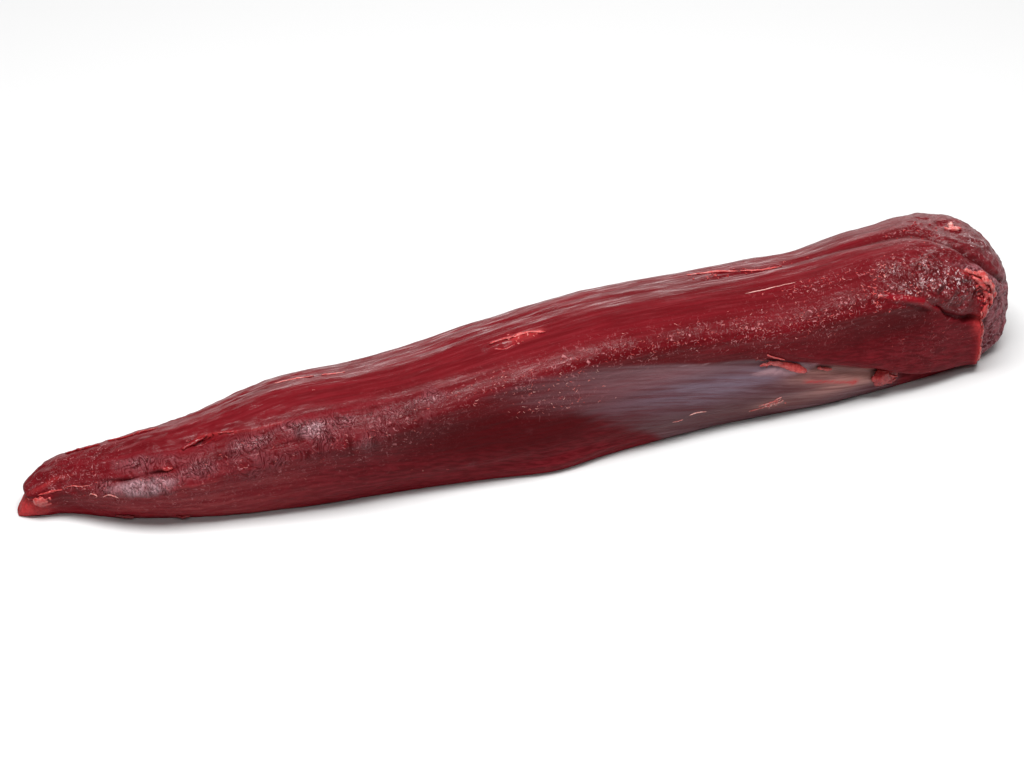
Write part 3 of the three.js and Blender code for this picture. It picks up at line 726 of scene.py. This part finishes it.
def scrap_points(path, width, thickness, lift, seed, ring_count, around):
    """Rings of a flattened, tapered and uneven strand along a path on the skin, and its two tips."""
    share = np.linspace(0, 1, len(path))
    t = np.linspace(0, 1, ring_count + 2)
    places = np.stack([profile(list(zip(share, values)), t) for values in zip(*path)], -1)
    middles, normals = (np.array(v) for v in zip(*(on_skin(s, a) for s, a in places)))
    middles = middles + normals * lift
    tangents = np.gradient(middles, axis=0)
    sides = np.cross(tangents, normals)
    sides = sides / np.linalg.norm(sides, axis=-1, keepdims=True)
    taper = np.sqrt(1 - np.abs(2 * t - 1) ** TAPER_POWER)
    taper = taper * (1 + UNEVENNESS * noise(np.stack([t * UNEVEN_WAVES, t * 0 + seed, t * 0], -1), 41))
    turn = np.linspace(0, 2 * np.pi, around, endpoint=False)[None, :, None]
    full = width * np.cos(turn) * sides[:, None] + thickness * np.sin(turn) * normals[:, None]
    rings = (middles[:, None] + taper[:, None, None] / 2 * full)[1:-1]
    jitter = np.stack([noise(rings / JITTER_SIZE, k + 42) for k in range(3)], -1)
    return rings + JITTER * thickness * jitter, middles[[0, -1]]


def crumb_paths():
    """Short bent paths scattered over each cluster, with their widths, thicknesses, lifts and paleness."""
    random = np.random.default_rng(CRUMB_SEED)
    for s, a, half_length, half_width, count, length, width, pale in CRUMBS:
        radius = float(profile(RADIUS, s))
        for _ in range(count):
            s_mid = s + half_length * random.normal() * CRUMB_SPREAD
            a_mid = a + np.degrees(half_width * random.normal() * CRUMB_SPREAD / radius)
            turn, bend = random.uniform(-CRUMB_TURN, CRUMB_TURN), random.uniform(-CRUMB_BEND, CRUMB_BEND)
            size = length * random.uniform(*CRUMB_LENGTHS)
            path = []
            for k in (-0.5, 0, 0.5):
                heading = turn + 2 * k * bend
                s_step, a_step = math.cos(heading) * k * size, math.degrees(math.sin(heading) * k * size / radius)
                path.append((float(np.clip(s_mid + s_step, 1, LENGTH - 1)), a_mid + a_step))
            grown = width * random.uniform(*CRUMB_WIDTHS)
            paleness = pale * random.uniform(*CRUMB_PALENESS)
            yield path, grown, CRUMB_FLATNESS * grown, CRUMB_LIFT * width, paleness, CRUMB_RINGS, CRUMB_AROUND


strands = [(*scrap, SCRAP_RINGS, SCRAP_AROUND) for scrap in SCRAPS] + list(crumb_paths())
scrap_vertices, scrap_faces, scrap_pale = [], [], []
for seed, (path, width, thickness, lift, pale, ring_count, around) in enumerate(strands):
    rings, ends = scrap_points(path, width, thickness, lift, seed, ring_count, around)
    first = len(scrap_vertices)
    scrap_faces += [[first + k for k in face] for face in grid_faces(ring_count, around)]
    scrap_vertices += rings.reshape(-1, 3).tolist() + ends.tolist()
    scrap_pale += [pale] * (len(scrap_vertices) - first)
scraps_mesh = smooth_mesh("tenderloin_scraps", scrap_vertices, scrap_faces)
scraps_mesh.attributes.new("pale", "FLOAT", "POINT").data.foreach_set("value", np.array(scrap_pale, np.float32))


# Materials


# Linear colours
COLOURS = dict(
    deep=(0.092, 0.0018, 0.004), red=(0.12, 0.003, 0.0064), warm=(0.14, 0.0038, 0.0075),
    pale_band=(0.16, 0.009, 0.014), dark_band=(0.08, 0.0016, 0.0036), strand=(0.2, 0.02, 0.027),
    lower_dark=(0.09, 0.0016, 0.0046), lower_pale=(0.175, 0.0096, 0.0158), dark=(0.058, 0.0005, 0.0018),
    under_specks=(0.06, 0.001, 0.002), wet_painted_sheen=(0.2, 0.042, 0.052), rough_dark=(0.055, 0.001, 0.002),
    rough_pale=(0.25, 0.034, 0.042), tail_dark=(0.17, 0.01, 0.015), tail_pale=(0.26, 0.034, 0.038),
    by_floor=(0.26, 0.006, 0.014), skin_dark=(0.06, 0.018, 0.023), skin_pale=(0.15, 0.064, 0.075),
    grey=(0.19, 0.1, 0.115), blue=(0.168, 0.11, 0.15), rusty=(0.17, 0.045, 0.035), low_skin=(0.07, 0.02, 0.026),
    peach=(0.36, 0.165, 0.145), skin_edge=(0.42, 0.26, 0.28), torn_and_painted_light=(0.48, 0.036, 0.038),
    cut_dark=(0.085, 0.011, 0.016), cut_pale=(0.28, 0.09, 0.105), cut_line=(0.4, 0.22, 0.24),
    painted_glint_fleck=(0.5, 0.18, 0.19), painted_sparkle=(0.6, 0.33, 0.35), painted_glint=(0.8, 0.58, 0.6), shaded_crease=(0.07, 0.003, 0.005),
    leather_line_shade=(0.06, 0.0016, 0.0035), leather_and_painted_sheen=(0.23, 0.054, 0.065), milky_painted_sheen=(0.46, 0.26, 0.29),
    shaded_wrinkle=(0.07, 0.0022, 0.005), ledge=(0.2, 0.0035, 0.009), shadowed_gap=(0.05, 0.001, 0.002), shade=(0.03, 0.001, 0.0015),
    scrap_dark=(0.1, 0.0018, 0.005), scrap_red=(0.22, 0.007, 0.01), scrap_pink=(0.46, 0.055, 0.052),
    scrap_pale=(0.6, 0.31, 0.28), scrap_streak=(0.26, 0.016, 0.02),
)


class Surface:
    """A material whose nodes are made by methods that return sockets and take sockets, plain values or names: of a
    colour where a node wants a colour, and of a field of the mesh where it wants a number."""

    def __init__(self, name):
        self.material = bpy.data.materials.new(name)
        self.material.use_nodes = True
        self.nodes = self.material.node_tree.nodes
        self.links = self.material.node_tree.links
        self.fields = {}
        self.colour = None

    def node(self, kind, values, output=0, **settings):
        node = self.nodes.new(kind)
        for key, value in settings.items():
            setattr(node, key, value)
        for key, value in values.items():
            self.put(node.inputs[key], value)
        return node.outputs[output]

    def put(self, socket, value):
        if isinstance(value, str):
            value = (*COLOURS[value], 1) if socket.type == "RGBA" else self.field(value)
        if isinstance(value, bpy.types.NodeSocket):
            self.links.new(value, socket)
        else:
            socket.default_value = value

    def field(self, name):
        if name not in self.fields:
            self.fields[name] = self.node("ShaderNodeAttribute", {}, "Fac", attribute_name=name)
        return self.fields[name]

    def vectors(self, operation, a, b):
        return self.node("ShaderNodeVectorMath", {0: a, 1: b}, operation=operation)

    def places(self, scale):
        """Places with so many units to a millimetre, one number or one for each direction."""
        scales = scale if isinstance(scale, tuple) else (scale,) * 3
        return self.vectors("MULTIPLY", self.node("ShaderNodeTexCoord", {}, "Object"), tuple(v / MM for v in scales))

    def noise(self, places, detail=3, roughness=0.6, distortion=0):
        return self.node("ShaderNodeTexNoise", {
            "Vector": places, "Scale": 1, "Detail": detail, "Roughness": roughness, "Distortion": distortion,
        }, "Fac")

    def grain(self, scale, *settings):
        return self.noise(self.places(scale), *settings)

    def fibres(self, scale_along, scale_across, detail):
        """Noise drawn out along the fibres of the meat."""
        fibre = self.node("ShaderNodeAttribute", {}, "Vector", attribute_name="fibre")
        return self.noise(self.vectors("MULTIPLY", fibre, (scale_along, scale_across, scale_across)), detail)

    def skin_fibres(self, scale_along, scale_across, *settings):
        """Noise drawn out along the fibres of the silver skin."""
        along, across = self.times("along", scale_along), self.times("skew", scale_across)
        return self.noise(self.node("ShaderNodeCombineXYZ", {0: along, 1: across}), *settings)

    def cells(self, places, feature):
        return self.node("ShaderNodeTexVoronoi", {"Vector": places, "Scale": 1}, "Distance", feature=feature)

    def shaken(self, places, amount):
        """Places that noise moves about by an amount."""
        shake = self.node("ShaderNodeTexNoise", {"Vector": places, "Scale": 0.8, "Detail": 2}, "Color")
        return self.vectors("ADD", places, self.vectors("MULTIPLY", shake, (amount,) * 3))

    def math(self, operation, a, b=0):
        return self.node("ShaderNodeMath", {0: a, 1: b}, operation=operation)

    def times(self, first, *others):
        for other in others:
            first = self.math("MULTIPLY", first, other)
        return first

    def total(self, *terms):
        """The sum of terms, each of which is a tuple of factors."""
        first, *others = (self.times(*factors) for factors in terms)
        for other in others:
            first = self.math("ADD", first, other)
        return first

    def off_middle(self, noise):
        """How far noise is from its middle value, which it has along winding lines."""
        return self.math("ABSOLUTE", self.math("SUBTRACT", noise, 0.5))

    def span(self, value, low, high, to_low=0, to_high=1):
        return self.node("ShaderNodeMapRange", {
            "Value": value, "From Min": low, "From Max": high, "To Min": to_low, "To Max": to_high,
        }, "Result", interpolation_type="SMOOTHSTEP")

    def near(self, value, reach, strength=1):
        """The strength where a value is 0, falling to 0 at a reach."""
        return self.span(value, 0, reach, strength, 0)

    def mix(self, share, under, over):
        return self.node("ShaderNodeMix", {0: share, 6: under, 7: over}, 2, data_type="RGBA")

    def paint(self, over, *shares):
        """Lays a colour over what is painted so far, by the product of the shares."""
        self.colour = self.mix(self.times(*shares), self.colour, over)

    def bump(self, height):
        """height is in millimetres."""
        return self.node("ShaderNodeBump", {"Strength": 1, "Distance": MM, "Height": height}, "Normal")

    def finished(self, inputs):
        """The material, with these inputs of its shader."""
        for name, value in inputs.items():
            self.put(self.nodes["Principled BSDF"].inputs[name], value)
        return self.material


def meat_material():
    m = Surface("meat")
    streak = m.fibres(0.02, 0.22, 5)
    band = m.fibres(0.035, 0.6, 3)
    strand = m.fibres(0.09, 1.2, 4)
    dash = m.skin_fibres(0.2, 0.9, 3, 0.6, 0.3)
    skin_streak = m.skin_fibres(0.03, 0.5, 5, 0.65)
    blotch = m.grain(0.05, 3, 0.55)
    mottle = m.grain(0.35)
    pebble = m.grain(0.7, 1, 0.4)
    grain = m.grain(1.1)
    fine_grain = m.grain(2.3, 2)
    curl = m.off_middle(m.grain(0.42, 1, 0.5, 0.8))
    curl_breaks = m.grain(0.8, 1, 0.5)
    # Crease lines, painted dark as shade and also cut in by the bump
    shaded_crease = m.near(m.off_middle(m.grain(0.55, 2, 0.5, 1.2)), 0.05)
    wrinkle_lines = m.off_middle(m.grain((0.75, 0.32, 0.32), 2, 0.55, 1.6))
    ripple = m.math("SINE", m.times(m.grain((0.2, 0.13, 0.13), 1, 0.4, 0.6), 80))
    cell = m.cells(m.shaken(m.places(0.4), 0.5), "DISTANCE_TO_EDGE")
    dot = m.cells(m.places(0.55), "F1")

    # Red meat, with its fibres, dark places, painted sheen on wet places, rough head, tail and the edge by the floor
    m.colour = m.mix(m.span(streak, 0.35, 0.65), "deep", "red")
    m.paint("warm", m.span(blotch, 0.45, 0.7, 0, 0.5))
    m.paint("pale_band", m.span(band, 0.48, 0.66, 0, 0.45))
    m.paint("dark_band", m.span(band, 0.48, 0.34, 0, 0.4))
    m.paint("strand", m.span(strand, 0.5, 0.75, 0, 0.35))
    m.paint(m.mix(m.span(dash, 0.38, 0.64), "lower_dark", "lower_pale"), "lower_front", 0.8)
    m.paint("dark", "dark", 0.85)
    m.paint("under_specks", "speck", m.span(fine_grain, 0.45, 0.6, 0.1, 0.6))
    # Painted sheen: wet places get a paler pinkish colour, partly a thin membrane and partly painted sheen
    m.paint("wet_painted_sheen", "wet_painted_sheen", m.near("rough", 0.5, 0.5))
    m.paint("rough_dark", "rough", m.span(mottle, 0.58, 0.42, 0, 0.8))
    m.paint("rough_pale", "rough", m.span(grain, 0.52, 0.68, 0, 0.8))
    m.paint(m.mix(m.span(band, 0.4, 0.6), "tail_dark", "tail_pale"), "tail", 0.75)
    m.paint("by_floor", "by_floor", 0.8)
    meat_colour = m.colour

    # Silver skin, thin enough to show the meat through it, with fibres that run along its upper edge
    m.colour = m.mix(m.span(skin_streak, 0.35, 0.65), "skin_dark", "skin_pale")
    m.paint("grey", "grey", 0.8)
    m.paint("blue", "blue", m.span(skin_streak, 0.35, 0.6, 0.5, 1))
    m.paint("rusty", "rusty", 0.7)
    m.paint("low_skin", "low_skin", 0.75)
    m.paint("peach", "peach", m.span(skin_streak, 0.3, 0.6, 0.5, 1))
    m.colour = m.mix(m.times("silver", m.span(skin_streak, 0.32, 0.6, 0.62, 1)), meat_colour, m.colour)
    m.paint("skin_edge", "skin_edge", m.span(streak, 0.42, 0.58), 0.6)

    # Torn edges, partly painted light, the cut end with its pale lines, flecks of painted glint, and the painted
    # sparkle and glints of the rough head
    # Bright red of torn tissue, partly painted light at the lobe's rim, the tail's tip and the corner under the crack
    m.paint("torn_and_painted_light", "torn_and_painted_light", m.span(grain, 0.3, 0.6, 0.6, 1))
    m.paint(m.mix(m.span(mottle, 0.4, 0.58), "cut_dark", "cut_pale"), "cut", 0.85)
    m.paint("cut_line", "cut", m.near(cell, 0.1, 0.8), m.span(grain, 0.42, 0.6))
    # Painted glints: small pale flecks in the speckled bands stand in for glints off tiny moist bumps
    curled_glint_flecks = m.times(m.near(curl, 0.035), m.span(curl_breaks, 0.51, 0.57), "speck")
    fine_glint_flecks = m.times(m.span(fine_grain, 0.63, 0.7), "speck", m.span(blotch, 0.4, 0.6))
    painted_glint_fleck = m.math("MAXIMUM", curled_glint_flecks, fine_glint_flecks)
    m.paint("painted_glint_fleck", painted_glint_fleck, 0.85)
    # Painted sparkle: pale dots and curls on the rough head stand in for sparkling highlights
    curls = m.times(m.near(curl, 0.035), m.span(curl_breaks, 0.5, 0.56))
    dots = m.times(m.span(dot, 0.1, 0.2, 1, 0), m.span(pebble, 0.52, 0.58))
    painted_sparkle = m.times("rough", m.span(mottle, 0.38, 0.5), m.math("MAXIMUM", curls, dots))
    m.paint("painted_sparkle", painted_sparkle, 0.7)
    # Painted glints: near-white marks on wet parts of the rough head stand in for glints of light
    painted_glints = m.times(m.near(curl, 0.045), m.span(curl_breaks, 0.44, 0.5), m.span(mottle, 0.47, 0.56))
    m.paint("painted_glint", painted_glints, m.span("rough", 0.1, 0.5), m.span("wet_painted_sheen", 0.4, 0.9), 0.9)
    # Painted shade in the creases of wet places
    m.paint("shaded_crease", "wet_painted_sheen", shaded_crease, 0.5)

    # The leathery film, with painted sheen and shade in its ripples, milky spots with painted sheen, painted shade in
    # its wrinkles and painted shadow in its gaps, and the ledge and the grooves
    leather_and_painted_sheen = m.span(ripple, -1, -0.1)
    milky_painted_sheen = m.times("milky_painted_sheen", m.span(mottle, 0.35, 0.55, 0.45, 1))
    # Painted shade in the wrinkles of the film and of the milky spots, which the bump also cuts in
    shaded_wrinkle = m.math("MAXIMUM", "film", m.times(milky_painted_sheen, m.near("silver", 0.5)))
    shaded_wrinkle = m.times(shaded_wrinkle, m.near(wrinkle_lines, 0.055))
    # Painted shadow in the gaps between the film's pieces
    shadowed_gap = m.times("gaps", m.span(wrinkle_lines, 0, 0.3, 1, 0.6))
    # The film's ripples: a pinkish tone with painted sheen on the ridges and painted shade in the lines between them
    m.paint(m.mix(leather_and_painted_sheen, "leather_line_shade", "leather_and_painted_sheen"), "film", 0.75)
    # Painted sheen on the milky spots, over a pale membrane
    m.paint("milky_painted_sheen", milky_painted_sheen, 0.75)
    m.paint("shaded_wrinkle", shaded_wrinkle, 0.75)
    m.paint("ledge", "ledge", 0.9)
    m.paint("shadowed_gap", shadowed_gap, 0.8)
    m.paint("shade", "shade", 0.85)

    gloss = m.total(
        ("rough", m.span(mottle, 0.42, 0.6, 0.25, 0.8)),
        ("speck", 0.07),
        ("wet_painted_sheen", m.span("rough", 0, 0.5, 0.5, 0.2)),
        ("silver", 0.2),
        ("ledge", 0.2),
        (m.near("lower_front", 0.5), m.span(strand, 0.45, 0.65, 0.03, 0.3)),
        ("sheen", m.span(strand, 0.48, 0.66, 0.03, 0.8)),
    )
    normal = m.bump(m.total(
        (streak, 0.05),
        (strand, m.total(("smooth", -0.08), (0.18,))),
        (dash, "lower_front", 0.06),
        (pebble, m.total(("rough", 0.7), ("speck", 0.3))),
        (grain, m.total(("rough", 0.2), ("speck", 0.12), (0.02,))),
        (fine_grain, "speck", 0.1),
        (painted_glint_fleck, 0.12),
        (painted_sparkle, 0.15),
        (shaded_crease, "wet_painted_sheen", -0.12),
        ("cut", m.span(cell, 0, 0.3, 0, 0.3)),
        (shadowed_gap, -0.4),
        (shaded_wrinkle, -0.22),
        ("film", leather_and_painted_sheen, 0.16),
    ))
    return m.finished({
        "Base Color": m.colour, "Roughness": m.span(strand, 0.3, 0.7, 0.42, 0.54), "Specular IOR Level": 0.06,
        "Coat Weight": m.math("MINIMUM", gloss, 1), "Coat Roughness": 0.1, "Coat IOR": 1.42,
        "Normal": normal, "Coat Normal": normal,
    })


def scrap_material():
    m = Surface("scraps")
    grain = m.grain(0.9)
    streak = m.grain((0.4, 1.4, 1.4))
    pale = m.times("pale", m.span(grain, 0.3, 0.7, 0.7, 1.25))
    m.colour = m.mix(m.span(pale, 0, 0.18), "scrap_dark", "scrap_red")
    m.paint("scrap_pink", m.span(pale, 0.18, 0.5))
    m.paint("scrap_pale", m.span(pale, 0.45, 1))
    m.paint("scrap_streak", m.span(streak, 0.5, 0.75, 0, 0.5))
    normal = m.bump(m.total((grain, 0.2), (streak, 0.1)))
    return m.finished({"Base Color": m.colour, "Roughness": 0.24, "Specular IOR Level": 0.35, "Normal": normal})


def placed(name, data):
    """An object in the scene that holds this mesh, camera or light."""
    thing = bpy.data.objects.new(name, data)
    bpy.context.collection.objects.link(thing)
    return thing


for piece_mesh, material in ((mesh, meat_material()), (scraps_mesh, scrap_material())):
    piece_mesh.materials.append(material)
    piece = placed(piece_mesh.name, piece_mesh)
    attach(piece, "root")
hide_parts("tenderloin")


# Camera, which looks as the photograph does, floor and light


ELEVATION, AZIMUTH = 35, math.radians(-19)
CAMERA_DISTANCE = 1.15
CAMERA_AIM = Vector((-0.0067, -0.0027, 0.0195))
FOCAL_PIXELS, IMAGE_WIDTH, SENSOR = 3517, 1024, 36
FLOOR_SIZE, FLOOR_COLOUR = 8, (0.62, 0.62, 0.62, 1)
WORLD_COLOUR = (0.08, 0.08, 0.08, 1)


def aim(elevation):
    """A direction in the camera's vertical plane: 0 is level towards the camera, 90 up and 180 away from it."""
    e = math.radians(elevation)
    return Vector((math.sin(AZIMUTH) * math.cos(e), -math.cos(AZIMUTH) * math.cos(e), math.sin(e)))


def softbox(name, direction, distance, size, brightness):
    """A soft light that faces the meat; brightness is its radiance, of which 1 shows as white."""
    light = placed(name, bpy.data.lights.new(name, "AREA"))
    light.data.shape = "RECTANGLE"
    light.data.size, light.data.size_y = size
    light.data.energy = brightness * math.pi * size[0] * size[1]
    light.location = direction * distance
    light.rotation_euler = direction.to_track_quat("Z", "Y").to_euler()
    light.visible_camera = False


camera = placed("camera", bpy.data.cameras.new("camera"))
camera.data.sensor_width = SENSOR
camera.data.lens = SENSOR * FOCAL_PIXELS / IMAGE_WIDTH
camera.location = CAMERA_AIM + aim(ELEVATION) * CAMERA_DISTANCE
camera.rotation_euler = (-aim(ELEVATION)).to_track_quat("-Z", "Y").to_euler()
bpy.context.scene.camera = camera

bpy.ops.mesh.primitive_plane_add(size=FLOOR_SIZE)
floor = bpy.context.object
floor.name = "floor"
floor.data.materials.append(Surface("floor").finished({
    "Base Color": FLOOR_COLOUR, "Roughness": 1, "Specular IOR Level": 0,
}))

softbox("key", aim(80), 0.95, (0.9, 0.4), 15.4)
softbox("front", aim(48), 1.7, (1.0, 0.24), 5.5)
softbox("back fill", aim(165), 1.5, (2.4, 0.6), 3)
world = bpy.data.worlds.new("world")
bpy.context.scene.world = world
world.use_nodes = True
world.node_tree.nodes["Background"].inputs[0].default_value = WORLD_COLOUR
bpy.context.scene.view_settings.view_transform = "Standard"
